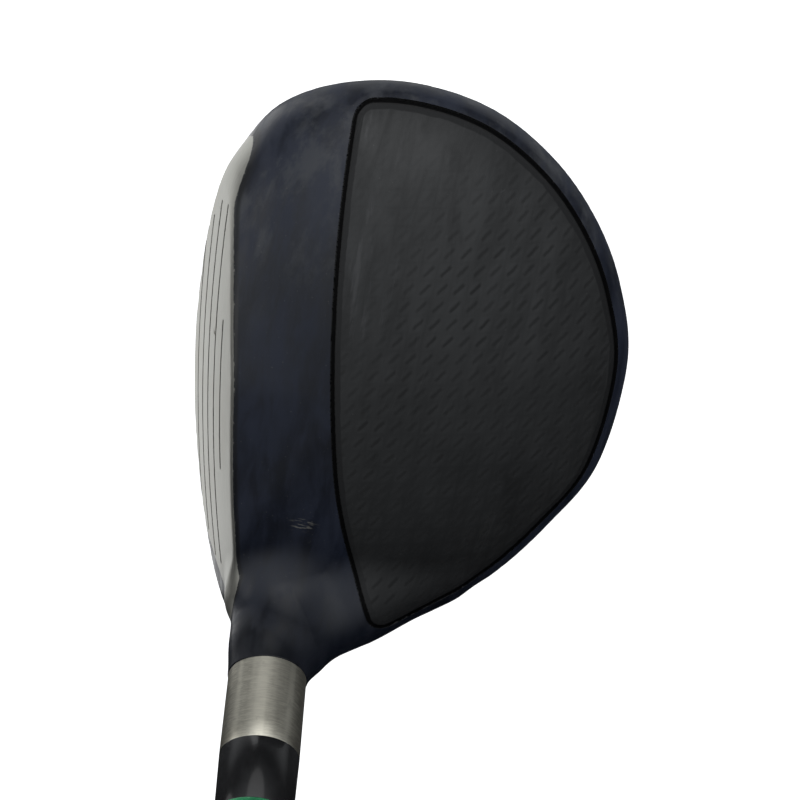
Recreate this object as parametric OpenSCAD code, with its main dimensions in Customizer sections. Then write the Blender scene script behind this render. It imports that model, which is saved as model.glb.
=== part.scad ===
// Right-handed fairway wood: hollow steel head with a composite crown, bonded graphite shaft
// and a slip-on rubber grip. Millimetres. +X runs from the face to the back of the head,
// +Y from heel to toe, +Z up. The origin is the point where the sole rests on the ground.

/* [Club] */
// Length along the shaft axis, from the ground to the end of the grip
club_length = 1080; // [900:5:1160]
// Angle between the shaft axis and the ground, in degrees
lie_angle = 57.5; // [54:0.5:62]
// Angle of the face back from upright, in degrees
loft_angle = 18; // [13:0.5:24]

/* [Head] */
// Height of the crown's highest point
crown_height = 37; // [32:0.5:44]
// Height of the widest line of the skirt at the back
skirt_height = 13; // [9:0.5:18]
// How much higher the skirt runs at the toe than at the back
toe_rise = 3; // [0:0.5:6]
// How much higher the skirt runs at the heel than at the back
heel_rise = 10; // [6:0.5:12]
// Distance from the rest point to the back of the head
back_reach = 51.6; // [44:0.5:60]
// Distance from the rest point to the toe
toe_reach = 54.3; // [46:0.5:62]
// Distance from the rest point to the heel
heel_reach = 48; // [44:0.5:52]
// Distance from the rest point forward to the face, at half its height
face_reach = 25.9; // [22:0.5:30]
// Heel-to-toe curve of the face, as a radius
bulge_radius = 280; // [220:5:360]
// Sole-to-crown curve of the face, as a radius
roll_radius = 280; // [220:5:360]
// Depth of the flat landing area of the sole
landing_depth = 0.4; // [0.2:0.05:0.8]

/* [Walls] */
// Thickness of the face plate
face_wall = 2; // [1.6:0.1:3.2]
// Thickness of the sole
sole_wall = 1.8; // [1.4:0.1:3.5]
// Thickness of the skirt
skirt_wall = 1.2; // [1:0.1:2.6]
// Thickness of the steel crown rim
rim_wall = 1.4; // [1.2:0.1:2.4]
// Thickness of the ledge under the crown panel
ledge_wall = 1; // [0.8:0.1:1.6]
// Depth of the face cup behind the face, measured along the ground
cup_depth = 8; // [6:0.5:9]
// Heel end of the face cup, as a distance from the shaft axis
cup_heel_gap = 9; // [8:0.5:16]

/* [Face grooves] */
// Number of score lines
groove_count = 5; // [3:1:5]
// Distance between score lines, up the face
groove_pitch = 4.7; // [4:0.1:5.2]
// Height of the top score line above the middle of the face
groove_top = 10.2; // [8:0.2:12]
// Width of a score line
groove_width = 0.6; // [0.4:0.05:0.9]
// Depth of a score line
groove_depth = 0.35; // [0.2:0.05:0.5]
// Length of the longest score line
groove_length = 68; // [40:1:70]
// Length of the shortest score line, nearest the crown
groove_short = 28; // [16:1:40]

/* [Crown panel] */
// Distance of the panel's edge inside the widest line of the head
panel_margin = 2.6; // [2:0.1:5]
// Distance of the panel's front edge behind the rest point, negative towards the face
panel_front = -2.6; // [-5:0.1:2]
// Radius of the panel's front corners
panel_corner = 5; // [2:0.5:8]
// Thickness of the composite panel
panel_thickness = 1; // [0.7:0.1:1.4]
// Thickness of the adhesive under the panel
bond_thickness = 0.25; // [0.15:0.05:0.4]
// Width of the adhesive line around the panel
bond_line = 0.5; // [0.3:0.05:0.8]
// Depth of the open groove above the adhesive line
bond_recess = 0.35; // [0.1:0.05:0.5]
// Width of the ledge that the panel is bonded to
ledge_width = 7; // [5:0.5:9]

/* [Hosel] */
// Distance of the shaft axis behind the rest point, negative towards the face
hosel_x = -11; // [-14:0.5:-8]
// Distance from the rest point to where the shaft axis meets the ground
axis_offset = 23; // [18:0.5:27]
// Top of the hosel, along the shaft axis from the ground
hosel_top = 67.6; // [62:0.2:74]
// Lower end of the bare band, where the painted head begins
paint_line = 51.2; // [48:0.2:54]
// How far the painted neck stands out from the bare band
neck_swell = 0.6; // [0.3:0.1:1.4]
// Depth of the shaft bore
bore_depth = 36; // [30:0.5:40]
// Thickness of the epoxy between shaft and bore
epoxy_thickness = 0.2; // [0.1:0.05:0.5]
// Wall of the hosel tube inside the head
tube_wall = 1.75; // [1.3:0.05:2.2]
// How far the bare band stands out from the tube
band_step = 0.8; // [0.5:0.05:1.2]

/* [Ferrule] */
// Length of the lower black ring
ferrule_lower_length = 12; // [6:0.5:14]
// Length of the green ring
ferrule_ring_length = 2.5; // [1.5:0.5:4]
// Length of the upper black ring
ferrule_upper_length = 13.5; // [8:0.5:18]
// How far the ferrule has narrowed at the green ring, on each side
ferrule_narrowing = 0.25; // [0.1:0.05:0.8]
// Wall of the ferrule at its top
ferrule_lip = 0.45; // [0.3:0.05:1]
// Space between the ferrule's bore and the shaft
ferrule_clearance = 0.1; // [0.05:0.05:0.3]

/* [Shaft] */
// Diameter of the shaft's tip
tip_diameter = 8.5; // [8.4:0.05:8.9]
// Length of the parallel tip
tip_length = 90; // [75:5:130]
// Diameter of the shaft's butt
butt_diameter = 15.2; // [14.6:0.1:15.8]
// Wall of the shaft at its tip
tip_wall = 2.05; // [1.6:0.05:2.5]
// Wall of the shaft at its butt
butt_wall = 1.2; // [0.9:0.05:1.6]
// Length of the plug in the shaft's tip
plug_length = 12; // [6:1:20]
// Length of the band around the shaft below the grip
band_length = 60; // [30:5:120]
// Thickness of the band
band_thickness = 0.15; // [0.1:0.05:0.3]

/* [Grip] */
// Length of the grip, with its cap
grip_length = 268; // [240:1:290]
// Diameter of the grip at the cap
grip_butt_diameter = 26.6; // [25:0.1:30]
// Diameter of the grip at its mouth
grip_mouth_diameter = 16.6; // [16.2:0.1:18.5]
// Thickness of the tape between shaft and grip
tape_thickness = 0.2; // [0.1:0.05:0.4]
// How far the cap stands out from the end of the grip
cap_overhang = 0.9; // [0.4:0.1:2]
// Length of the cap
cap_length = 5; // [4:0.5:8]
// Diameter of the vent hole in the cap
vent_diameter = 3; // [2:0.1:4]

/* [Sole weight] */
// Distance of the weight from the rest point, towards the back
weight_x = 29; // [24:0.5:32]
// Distance of the weight from the rest point, towards the toe
weight_y = 2; // [-6:0.5:8]
// Lean of the weight's axis, square to the sole, in degrees
weight_lean = 9; // [5:0.5:12]
// Diameter of the weight's head
weight_diameter = 15; // [12:0.5:16]
// Thickness of the weight's head
weight_thickness = 4; // [3:0.5:5]
// Diameter of the weight's shank
shank_diameter = 7.4; // [6:0.1:8]
// Length of the weight's shank
shank_length = 6; // [4:0.5:7]
// Space around the weight's head and shank
weight_clearance = 0.1; // [0.05:0.05:0.3]

/* [Hidden] */

// Clearances and small allowances
overrun = 1;
far = 100;
column_height = 60;
face_steps = 8;
face_segments = 240;
face_half_height = 40;
face_solid_depth = 140;
grip_steps = 12;
ferrule_steps = 8;
ferrule_curve = 1.4;
ring_taper = 0.3;
band_gap = 40;
body_half_width = 80;
front_reach = face_reach + 18;
face_mid = (crown_height - 3) / 2;
panel_sweep_radius = 300;
panel_sweep_y = 16;
port_wall = 2.2;
port_floor = 1.6;
sole_dome_radius = 110;
above_crown = 20;
crown_foot_x = 3.1;
crown_foot_y = -1.7;
fit_gap = 0.05;
glue_pad_diameter = 26;
glue_pad_thickness = 1.6;
sleeve_gap = 0.01;
paint_step = 0.3;
tube_floor = 3;
neck_flare = 6;
weight_recess = 0.3;
socket_diameter = 5.5;
socket_depth = 2.8;
socket_lobe_offset = 3.1;
socket_lobe_diameter = 1.9;
groove_centre = -3;
groove_step = 7;
groove_reach = 6;
glue_pad_x = -2;
glue_pad_y = 20;
sweep_start = 36;
sweep_length = 6;
heel_back_x = 13;
heel_back_y = -38.5;
heel_back_z = 25;
heel_back_radius = 7.5;
mouth_round = 1;
grip_curve = 1.15;
cap_round = 1.2;
tape_setback = 3;
face_span = 2 * asin(body_half_width / bulge_radius);

// The outline at the head's widest line, counter-clockwise from the back. Each point is a share
// of the reach to the back or front and of the reach to the toe or heel.
outline = [
    [1, 0.08], [0.96, 0.34], [0.855, 0.565], [0.69, 0.765], [0.465, 0.92], [0.19, 0.995],
    [-0.09, 0.98], [-0.33, 0.9], [-0.47, 0.745], [-0.62, 0.55], [-0.82, 0.3], [-0.98, 0],
    [-0.9, -0.4], [-0.7, -0.7], [-0.5, -0.9], [-0.2, -1], [0.2, -0.965], [0.39, -0.865],
    [0.565, -0.755], [0.76, -0.57], [0.91, -0.32]
];
SPAN_STEPS = 4;
CROWN_STEPS = 9;
SOLE_STEPS = 6;
crown_fullness = 1.1;

// Diameters along the shaft axis, each from the one inside it
bore_diameter = tip_diameter + 2 * epoxy_thickness;
tube_diameter = bore_diameter + 2 * tube_wall;
hosel_diameter = tube_diameter + 2 * band_step;
neck_diameter = hosel_diameter + 2 * neck_swell;
ferrule_bore = tip_diameter + 2 * ferrule_clearance;
ferrule_ring_diameter = hosel_diameter - 2 * ferrule_narrowing;
ring_end_diameter = ferrule_ring_diameter - ring_taper;
ferrule_top_diameter = ferrule_bore + 2 * ferrule_lip;
tip_bore = tip_diameter - 2 * tip_wall;
butt_bore = butt_diameter - 2 * butt_wall;
cap_diameter = grip_butt_diameter + 2 * cap_overhang;

// Where things lie along the shaft axis, from the ground
bore_floor = hosel_top - bore_depth;
ring_start = hosel_top + ferrule_lower_length;
upper_start = ring_start + ferrule_ring_length;
taper_start = bore_floor + tip_length;
shaft_end = club_length - cap_length;
grip_mouth = club_length - grip_length;
band_start = grip_mouth - band_gap - band_length;
neck_start = 34;
tube_start = bore_floor - tube_floor;

// Depths under the crown and into the sole
ledge_depth = panel_thickness + bond_thickness;
shank_seat = weight_recess + weight_thickness + weight_clearance;
shank_end = weight_recess + weight_thickness + shank_length;
port_depth = shank_end + overrun / 2;
port_diameter = weight_diameter + 2 * (weight_clearance + port_wall);
port_height = shank_seat + port_floor + port_wall;
function sole_z(x) =
    (skirt_height + landing_depth) * (1 - sqrt(1 - pow(x / back_reach, 2))) - landing_depth;

function reach(share, back, front) = share * (share > 0 ? back : front);
function place(share) = [
    reach(share.x, back_reach, front_reach), reach(share.y, toe_reach, heel_reach)
];

// One point of a smooth closed curve through four neighbouring points
function curve(a, b, c, d, t) =
    0.5 * (2 * b + (c - a) * t + (2 * a - 5 * b + 4 * c - d) * t * t + (3 * b - a - 3 * c + d) * t * t * t);

plan = [
    for (i = [0 : len(outline) - 1], k = [0 : SPAN_STEPS - 1])
        let (n = len(outline))
            curve(
                place(outline[(i + n - 1) % n]), place(outline[i]),
                place(outline[(i + 1) % n]), place(outline[(i + 2) % n]),
                k / SPAN_STEPS
            )
];

// Height of the widest line, which climbs towards the toe and, more steeply, to the hosel
function skirt_z(p) = skirt_height
    + (p.y > 0 ? toe_rise * pow(p.y / toe_reach, 2) : heel_rise * pow(p.y / heel_reach, 2));
function shrink(p, wall) = p * (1 - wall / norm(p));

// Rings of the head's surface, moved in by side, down by drop and with the sole raised to floor
function crown_ring(u, side, drop) = [
    for (p = plan)
        let (q = shrink(p, side) * cos(u), z = skirt_z(p))
            [q.x, q.y, z + (crown_height - drop - z) * pow(sin(u), crown_fullness)]
];
function sole_ring(v, side, floor) = [
    for (p = plan)
        let (q = shrink(p, side) * cos(v), z = skirt_z(p))
            [q.x, q.y, floor + (z - floor) * (1 - sin(v))]
];

// Closed skin through a stack of rings, with a single point at each end
module ring_stack(rings, bottom, top) {
    n = len(rings[0]);
    last = len(rings) - 1;
    points = [bottom, for (r = rings, p = r) p, top];
    sides = [
        for (k = [0 : last - 1], i = [0 : n - 1])
            let (a = 1 + k * n + i, b = 1 + k * n + (i + 1) % n)
                each [[a, a + n, b + n], [a, b + n, b]]
    ];
    ends = [
        for (i = [0 : n - 1])
            each [
                [0, 1 + i, 1 + (i + 1) % n],
                [len(points) - 1, 1 + last * n + (i + 1) % n, 1 + last * n + i]
            ]
    ];
    polyhedron(points, concat(sides, ends));
}

module head_volume(side = 0, drop = 0, floor = -landing_depth) {
    rings = [
        for (k = [1 : SOLE_STEPS]) sole_ring(90 - 90 * k / SOLE_STEPS, side, floor),
        for (k = [1 : CROWN_STEPS - 1]) crown_ring(90 * k / CROWN_STEPS, side, drop)
    ];
    ring_stack(rings, [0, 0, floor], [0, 0, crown_height - drop]);
}

// Everything behind the curved face, moved back by inset
module behind_face(inset = 0) {
    front = [
        for (k = [-face_steps : face_steps])
            let (h = face_half_height * k / face_steps)
                [bulge_radius - inset - roll_radius + sqrt(roll_radius * roll_radius - h * h), h]
    ];
    back = bulge_radius - face_solid_depth;
    profile = concat(front, [[back, face_half_height], [back, -face_half_height]]);
    translate([-face_reach, 0, face_mid])
        rotate([0, loft_angle, 0])
            translate([bulge_radius, 0, 0])
                rotate([0, 0, 180 - face_span / 2])
                    rotate_extrude(angle = face_span, $fn = face_segments)
                        polygon(profile);
}

// Moves a shape built along +Z onto the shaft axis, measured from the ground
module on_axis(along = 0) {
    translate([hosel_x, -axis_offset, 0])
        rotate([90 - lie_angle, 0, 0])
            translate([0, 0, along])
                children();
}

module above_ground() {
    translate([-far, -far, 0])
        cube([2 * far, 2 * far, far]);
}

module outer_head() {
    intersection() {
        head_volume();
        behind_face();
        above_ground();
    }
}

module cavity() {
    intersection() {
        head_volume(skirt_wall, rim_wall, sole_wall);
        behind_face(face_wall);
    }
}

// Area of the crown panel seen from above, grown outward by grow
module panel_area(grow = 0) {
    offset(delta = grow)
        offset(r = panel_corner, $fn = 32)
            offset(delta = -panel_corner)
                intersection() {
                    offset(delta = -panel_margin)
                        polygon(plan);
                    translate([panel_front + panel_sweep_radius, panel_sweep_y])
                        circle(r = panel_sweep_radius, $fn = face_segments);
                }
}

module panel_column(grow = 0) {
    linear_extrude(column_height)
        panel_area(grow);
}

// The upper part of the head only, from its first ring above the widest line or from that line
module crown_volume(side, drop, first = 1) {
    rings = [for (k = [first : CROWN_STEPS - 1]) crown_ring(90 * k / CROWN_STEPS, side, drop)];
    ring_stack(rings, [crown_foot_x, crown_foot_y, skirt_height], [0, 0, crown_height - drop]);
}

// A layer of the crown between two depths below its surface
module crown_layer(from, to) {
    difference() {
        crown_volume(from, from);
        head_volume(to, to);
    }
}

module panel_recess() {
    intersection() {
        panel_column();
        difference() {
            crown_volume(-above_crown, -above_crown, 0);
            head_volume(ledge_depth, ledge_depth);
        }
    }
}

module panel_opening() {
    intersection() {
        panel_column(-ledge_width);
        crown_volume(-above_crown, -above_crown, 0);
    }
}

module ledge() {
    intersection() {
        panel_column(ledge_wall);
        crown_layer(ledge_depth - ledge_wall / 2, ledge_depth + ledge_wall);
    }
}

// The part of the head that the face cup takes: in front of its weld and clear of the hosel
module cup_side() {
    on_axis()
        translate([-far, cup_heel_gap, -far])
            cube(2 * far);
}

module cup_zone() {
    difference() {
        cup_side();
        behind_face(cup_depth);
    }
}

module neck() {
    on_axis()
        rotate_extrude($fn = 48)
            polygon([
                [0, neck_start],
                [neck_diameter / 2, neck_start],
                [neck_diameter / 2, paint_line - neck_flare],
                [(hosel_diameter + paint_step) / 2, paint_line],
                [0, paint_line]
            ]);
}

// The heel's flank, which sweeps up into the neck
module heel_sweep() {
    hull() {
        on_axis(sweep_start)
            cylinder(d = neck_diameter - paint_step, h = sweep_length, $fn = 32);
        translate([heel_back_x, heel_back_y, heel_back_z])
            sphere(r = heel_back_radius, $fn = 32);
    }
}

// The seat that the hosel tube is brazed into
module tube_seat() {
    on_axis(tube_start - fit_gap)
        cylinder(d = tube_diameter + 2 * fit_gap, h = paint_line, $fn = 48);
}

// Moves a shape built along +Z to the weight port, from the sole into the head
module at_weight(inward = 0) {
    translate([weight_x, weight_y, sole_z(weight_x)])
        rotate([0, -weight_lean, 0])
            translate([0, 0, inward])
                children();
}

// Inside of a ball whose surface follows the sole around the port, from a depth inward
module sole_dome(inward) {
    at_weight(inward + sole_dome_radius)
        sphere(r = sole_dome_radius, $fn = 96);
}

// Swept surfaces stay together as one skin
module skin() {
    resize([0, 0, 0])
        children();
}

module head_body() {
    color("#1c2536")
        skin() {
            difference() {
                union() {
                    difference() {
                        union() {
                            outer_head();
                            neck();
                            heel_sweep();
                        }
                        cavity();
                    }
                    ledge();
                }
                cup_zone();
                panel_recess();
                panel_opening();
                tube_seat();
                at_weight(-port_wall)
                    cylinder(d = port_diameter + 2 * fit_gap, h = port_height, $fn = 64);
            }
        }
}

module hosel_tube() {
    color("#b4b0a6")
        on_axis()
            difference() {
                union() {
                    translate([0, 0, tube_start])
                        cylinder(d = tube_diameter, h = paint_line - tube_start, $fn = 64);
                    translate([0, 0, paint_line])
                        cylinder(d = hosel_diameter, h = hosel_top - paint_line, $fn = 64);
                }
                translate([0, 0, bore_floor])
                    cylinder(d = bore_diameter, h = bore_depth + overrun, $fn = 48);
            }
}

module weight_port() {
    color("#8c8e91")
        difference() {
            intersection() {
                union() {
                    at_weight()
                        cylinder(d = port_diameter, h = port_height - port_wall, $fn = 64);
                    at_weight()
                        cylinder(d = shank_diameter + 2 * port_wall, h = port_depth + port_floor, $fn = 64);
                }
                sole_dome(0);
            }
            at_weight(-overrun)
                cylinder(d = weight_diameter + 2 * weight_clearance, h = shank_seat + overrun, $fn = 64);
            at_weight()
                cylinder(d = shank_diameter + 2 * weight_clearance, h = port_depth, $fn = 48);
        }
}

module face_grooves() {
    difference() {
        for (k = [0 : groove_count - 1]) {
            length = k == 0 ? groove_short : groove_length - groove_step * max(0, k - 2);
            translate([-face_reach, groove_centre, face_mid])
                rotate([0, loft_angle, 0])
                    translate([-groove_reach, -length / 2, groove_top - k * groove_pitch - groove_width / 2])
                        cube([2 * groove_reach, length, groove_width]);
        }
        behind_face(groove_depth);
    }
}

module face_cup() {
    color("#8d8f93")
        skin() {
            difference() {
                intersection() {
                    outer_head();
                    cup_zone();
                }
                cavity();
                face_grooves();
            }
        }
}

module crown_panel() {
    color("#23262b")
        skin() {
            intersection() {
                panel_column(-bond_line);
                crown_layer(0, panel_thickness);
            }
        }
}

module crown_bond() {
    color("#0b0b0c")
        skin() {
            difference() {
                intersection() {
                    panel_column();
                    crown_layer(bond_recess, ledge_depth);
                }
                panel_column(-ledge_width);
                intersection() {
                    panel_column(-bond_line);
                    crown_layer(-1, panel_thickness);
                }
            }
        }
}

module weight_screw() {
    color("#b9bcc0")
        difference() {
            intersection() {
                union() {
                    at_weight()
                        cylinder(d = weight_diameter, h = weight_recess + weight_thickness, $fn = 64);
                    at_weight()
                        cylinder(d = shank_diameter, h = shank_end, $fn = 48);
                }
                sole_dome(weight_recess);
            }
            at_weight(-overrun)
                linear_extrude(weight_recess + socket_depth + overrun)
                    socket();
        }
}

// Six-lobed key socket
module socket() {
    difference() {
        circle(d = socket_diameter, $fn = 48);
        for (turn = [0 : 60 : 300])
            rotate(turn)
                translate([socket_lobe_offset, 0])
                    circle(d = socket_lobe_diameter, $fn = 24);
    }
}

module sole_glue_pad() {
    color("#c9b458")
        skin() {
            intersection() {
                cavity();
                translate([glue_pad_x, glue_pad_y, 0])
                    cylinder(d = glue_pad_diameter, h = sole_wall + glue_pad_thickness, $fn = 40);
            }
        }
}

// Diameter of the shaft at a distance along the axis
function taper(along) = max(0, along - taper_start) / (shaft_end - taper_start);
function shaft_d(along) = tip_diameter + (butt_diameter - tip_diameter) * taper(along);

// Tube along the axis with a straight taper on both sides
module tapered_tube(start, end, outer_start, outer_end, inner_start, inner_end) {
    slope_out = (outer_end - outer_start) / (end - start);
    slope_in = (inner_end - inner_start) / (end - start);
    on_axis(start)
        difference() {
            cylinder(d1 = outer_start, d2 = outer_end, h = end - start, $fn = 64);
            translate([0, 0, -overrun])
                cylinder(
                    d1 = inner_start - slope_in * overrun,
                    d2 = inner_end + slope_in * overrun,
                    h = end - start + 2 * overrun,
                    $fn = 64
                );
        }
}

module ferrule_lower() {
    color("#101012")
        tapered_tube(
            hosel_top, ring_start, hosel_diameter, ferrule_ring_diameter, ferrule_bore, ferrule_bore
        );
}

module ferrule_ring() {
    color("#3cb464")
        tapered_tube(
            ring_start, upper_start, ferrule_ring_diameter, ring_end_diameter, ferrule_bore, ferrule_bore
        );
}

module ferrule_upper() {
    color("#101012")
        on_axis(upper_start)
            rotate_extrude($fn = 64)
                polygon(concat(
                    [[ferrule_bore / 2, 0]],
                    [
                        for (k = [0 : ferrule_steps])
                            let (t = k / ferrule_steps, narrow = ring_end_diameter - ferrule_top_diameter)
                                [
                                    (ring_end_diameter - narrow * pow(t, ferrule_curve)) / 2,
                                    ferrule_upper_length * t
                                ]
                    ],
                    [[ferrule_bore / 2, ferrule_upper_length]]
                ));
}

module shaft() {
    color("#2b2e33")
        on_axis(bore_floor)
            rotate_extrude($fn = 64)
                polygon([
                    [tip_bore / 2, 0],
                    [tip_diameter / 2, 0],
                    [tip_diameter / 2, tip_length],
                    [butt_diameter / 2, shaft_end - bore_floor],
                    [butt_bore / 2, shaft_end - bore_floor],
                    [tip_bore / 2, tip_length]
                ]);
}

module shaft_bond() {
    color("#c8b98c")
        on_axis(bore_floor)
            difference() {
                cylinder(d = bore_diameter - 2 * sleeve_gap, h = bore_depth, $fn = 48);
                translate([0, 0, -overrun])
                    cylinder(d = tip_diameter + 2 * sleeve_gap, h = bore_depth + 2 * overrun, $fn = 48);
            }
}

module tip_plug() {
    color("#d8d2c0")
        on_axis(bore_floor)
            cylinder(d = tip_bore - 2 * sleeve_gap, h = plug_length, $fn = 40);
}

module shaft_band() {
    inner_start = shaft_d(band_start) + 2 * sleeve_gap;
    inner_end = shaft_d(band_start + band_length) + 2 * sleeve_gap;
    color("#3cb464")
        tapered_tube(
            band_start, band_start + band_length,
            inner_start + 2 * band_thickness, inner_end + 2 * band_thickness, inner_start, inner_end
        );
}

module grip_tape() {
    start = grip_mouth + tape_setback;
    inner_start = shaft_d(start) + 2 * sleeve_gap;
    inner_end = shaft_d(shaft_end) + 2 * sleeve_gap;
    outer_gap = 2 * (tape_thickness - sleeve_gap);
    color("#d9d3bf")
        tapered_tube(
            start, shaft_end,
            inner_start + outer_gap, inner_end + outer_gap, inner_start, inner_end
        );
}

module grip_sleeve() {
    length = shaft_end - grip_mouth;
    mouth_bore = shaft_d(grip_mouth) + 2 * tape_thickness + 2 * sleeve_gap;
    butt_bore_d = shaft_d(shaft_end) + 2 * tape_thickness + 2 * sleeve_gap;
    color("#17181a")
        on_axis(grip_mouth)
            rotate_extrude($fn = 64)
                polygon(concat(
                    [[mouth_bore / 2, 0], [grip_mouth_diameter / 2 - mouth_round, 0]],
                    [
                        for (k = [0 : grip_steps])
                            let (t = k / grip_steps, widen = grip_butt_diameter - grip_mouth_diameter)
                                [
                                    (grip_mouth_diameter + widen * pow(t, grip_curve)) / 2,
                                    mouth_round + (length - mouth_round) * t
                                ]
                    ],
                    [[butt_bore_d / 2, length]]
                ));
}

module grip_cap() {
    color("#1d1e20")
        on_axis(shaft_end)
            difference() {
                rotate_extrude($fn = 64)
                    polygon([
                        [0, 0],
                        [grip_butt_diameter / 2, 0],
                        [cap_diameter / 2, cap_round],
                        [cap_diameter / 2, cap_length - cap_round],
                        [cap_diameter / 2 - cap_round, cap_length],
                        [0, cap_length]
                    ]);
                translate([0, 0, -overrun])
                    cylinder(d = vent_diameter, h = cap_length + 2 * overrun, $fn = 32);
            }
}

head_body();
face_cup();
crown_panel();
crown_bond();
hosel_tube();
weight_port();
weight_screw();
sole_glue_pad();
ferrule_lower();
ferrule_ring();
ferrule_upper();
shaft();
shaft_bond();
tip_plug();
shaft_band();
grip_tape();
grip_sleeve();
grip_cap();
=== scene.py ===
import math
import bpy
import numpy as np
from mathutils import Matrix, Vector


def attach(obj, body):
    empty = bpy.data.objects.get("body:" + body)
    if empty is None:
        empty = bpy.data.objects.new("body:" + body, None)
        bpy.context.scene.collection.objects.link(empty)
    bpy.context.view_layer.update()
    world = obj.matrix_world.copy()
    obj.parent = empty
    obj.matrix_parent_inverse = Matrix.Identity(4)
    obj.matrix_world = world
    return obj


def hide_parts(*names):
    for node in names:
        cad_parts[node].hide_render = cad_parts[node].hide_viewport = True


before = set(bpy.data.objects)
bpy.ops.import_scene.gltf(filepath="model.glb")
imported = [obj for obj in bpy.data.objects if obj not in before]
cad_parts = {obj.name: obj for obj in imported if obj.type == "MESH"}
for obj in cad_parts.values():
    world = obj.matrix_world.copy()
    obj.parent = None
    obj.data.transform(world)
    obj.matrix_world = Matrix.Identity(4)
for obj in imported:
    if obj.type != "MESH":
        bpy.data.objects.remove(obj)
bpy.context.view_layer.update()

# ---------------------------------------------------------------- sizes of the part, in millimetres
MM = 0.001
CROWN, SKIRT, TOE_RISE, HEEL_RISE = 37.0, 13.0, 3.0, 10.0
BACK, FRONT, TOE, HEEL = 51.6, 43.9, 54.3, 48.0
LANDING = 0.4
FULLNESS = 1.1
FACE_REACH, FACE_MID, FACE_RADIUS, LOFT = 25.9, 17.0, 280.0, math.radians(18)
CUP_DEPTH, CUP_HEEL = 8.0, 9.0
# crown panel: margin to the outline, the swept front edge, the turn near the heel, corner radii
MARGIN, CORNER = 2.6, 3.2
SWEEP_R, SWEEP_Y = 300.0, 16.0
SWEEP_X = SWEEP_R - 2.6
TURN_X, TURN_Y, TURN_DIR, TURN_EASE = -0.5, -26.8, (0.918, 0.393), 5
BOND_LINE, BOND_DEPTH = 0.7, 0.32
# shaft axis and neck
HOSEL_X, AXIS_Y, LIE = -11.0, -23.0, math.radians(57.5)
PAINT_LINE, NECK_R, NECK_TOP_R, NECK_FOOT, NECK_TAPER = 51.2, 7.6, 7.15, 30, 44
FLANK = ((-5, -45.8, 33), (19.0, -37.0, 24.0), 6.2, 2.4)
NECK_FILLET, HEEL_FILLET, SOLE_EDGE = 6, 6.5, 0.8
# score lines and the bare steel on the face
LINES, PITCH, TOP_LINE, LINE_W, LINE_D = 5, 4.7, 10.2, 0.6, 0.35
LINE_SHIFT, TOP_LINE_LENGTH, LINE_LENGTH, LINE_SHRINK = 3, 28, 68, 7
BARE_HEIGHT, BARE_HEEL = 17.9, 3.5
WEIGHT_X, WEIGHT_Y, WEIGHT_LEAN, PORT_R = 29.0, 2.0, math.radians(9), 9.8
# turned parts: places along the shaft axis and radii
TUBE_FOOT, BORE_FLOOR = 28.6, 31.6
TUBE_TOP, FERRULE_MID, FERRULE_RING, FERRULE_TOP = 67.6, 79.6, 82.1, 95.6
TUBE_R, TUBE_FOOT_R, BORE_R, SLEEVE_R = 7.0, 6.2, 4.45, 4.36
TIP_D, BUTT_D, TAPER_FROM, SHAFT_TOP = 8.5, 15.2, 121.6, 1075
TIP_BORE_R, BUTT_BORE_R = 2.2, 6.4
PRINT_FROM, PRINT_TO, PRINT_T = 712, 772, 0.158
GRIP_FROM, GRIP_TO, CLUB_LENGTH = 812.0, 1075, 1080
GRIP_FOOT_D, GRIP_GROWTH = 16.6, 10.0

# control points of the head's plan, as shares of its half sizes, from the back round by the toe
OUTLINE = [
    (1.006, 0.07), (0.959, 0.338), (0.853, 0.564), (0.687, 0.763), (0.460, 0.918), (0.185, 0.99),
    (-0.085, 0.976), (-0.325, 0.897), (-0.477, 0.755), (-0.626, 0.556), (-0.82, 0.3), (-0.995, 0),
    (-0.945, -0.4), (-0.77, -0.735), (-0.59, -0.95), (-0.2, -1), (0.06, -0.992), (0.2, -0.967),
    (0.397, -0.872), (0.57, -0.764), (0.760, -0.566), (0.929, -0.316),
]


def outline_table():
    """Radius of the head's plan at evenly spaced headings, from a closed smooth curve."""
    p = np.array([(a * (BACK if a > 0 else FRONT), b * (TOE if b > 0 else HEEL)) for a, b in OUTLINE])
    n, out = len(p), []
    for i in range(n):
        a, b, c, d = p[i - 1], p[i], p[(i + 1) % n], p[(i + 2) % n]
        for t in np.linspace(0, 1, 24, endpoint=False):
            out.append(0.5 * (2 * b + (c - a) * t + (2 * a - 5 * b + 4 * c - d) * t * t
                              + (3 * b - a - 3 * c + d) * t ** 3))
    out = np.array(out)
    heading = np.unwrap(np.arctan2(out[:, 1], out[:, 0]))
    radius = np.hypot(out[:, 0], out[:, 1])
    grid = np.linspace(-math.pi, math.pi, 1441)
    order = np.argsort(heading % (2 * math.pi))
    r = np.interp(grid % (2 * math.pi), (heading % (2 * math.pi))[order], radius[order], period=2 * math.pi)
    for _ in range(6):
        r[:-1] = (np.roll(r[:-1], 1) + 2 * r[:-1] + np.roll(r[:-1], -1)) / 4
    r[-1] = r[0]
    return grid, r, np.gradient(r, grid)


GRID, RADIUS, SLOPE = outline_table()
AXIS = np.array([0, -math.cos(LIE), math.sin(LIE)])
ACROSS = np.array([0, math.sin(LIE), math.cos(LIE)])
FACE_UP = np.array([math.sin(LOFT), 0, math.cos(LOFT)])
FACE_C = np.array([-FACE_REACH + FACE_RADIUS * math.cos(LOFT), 0, FACE_MID - FACE_RADIUS * math.sin(LOFT)])


def cut_round(a, b, r):
    """Inside both, with the edge rounded to radius r."""
    u, v = np.maximum(a + r, 0), np.maximum(b + r, 0)
    return np.minimum(-r, np.maximum(a, b)) + np.sqrt(u * u + v * v)


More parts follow.
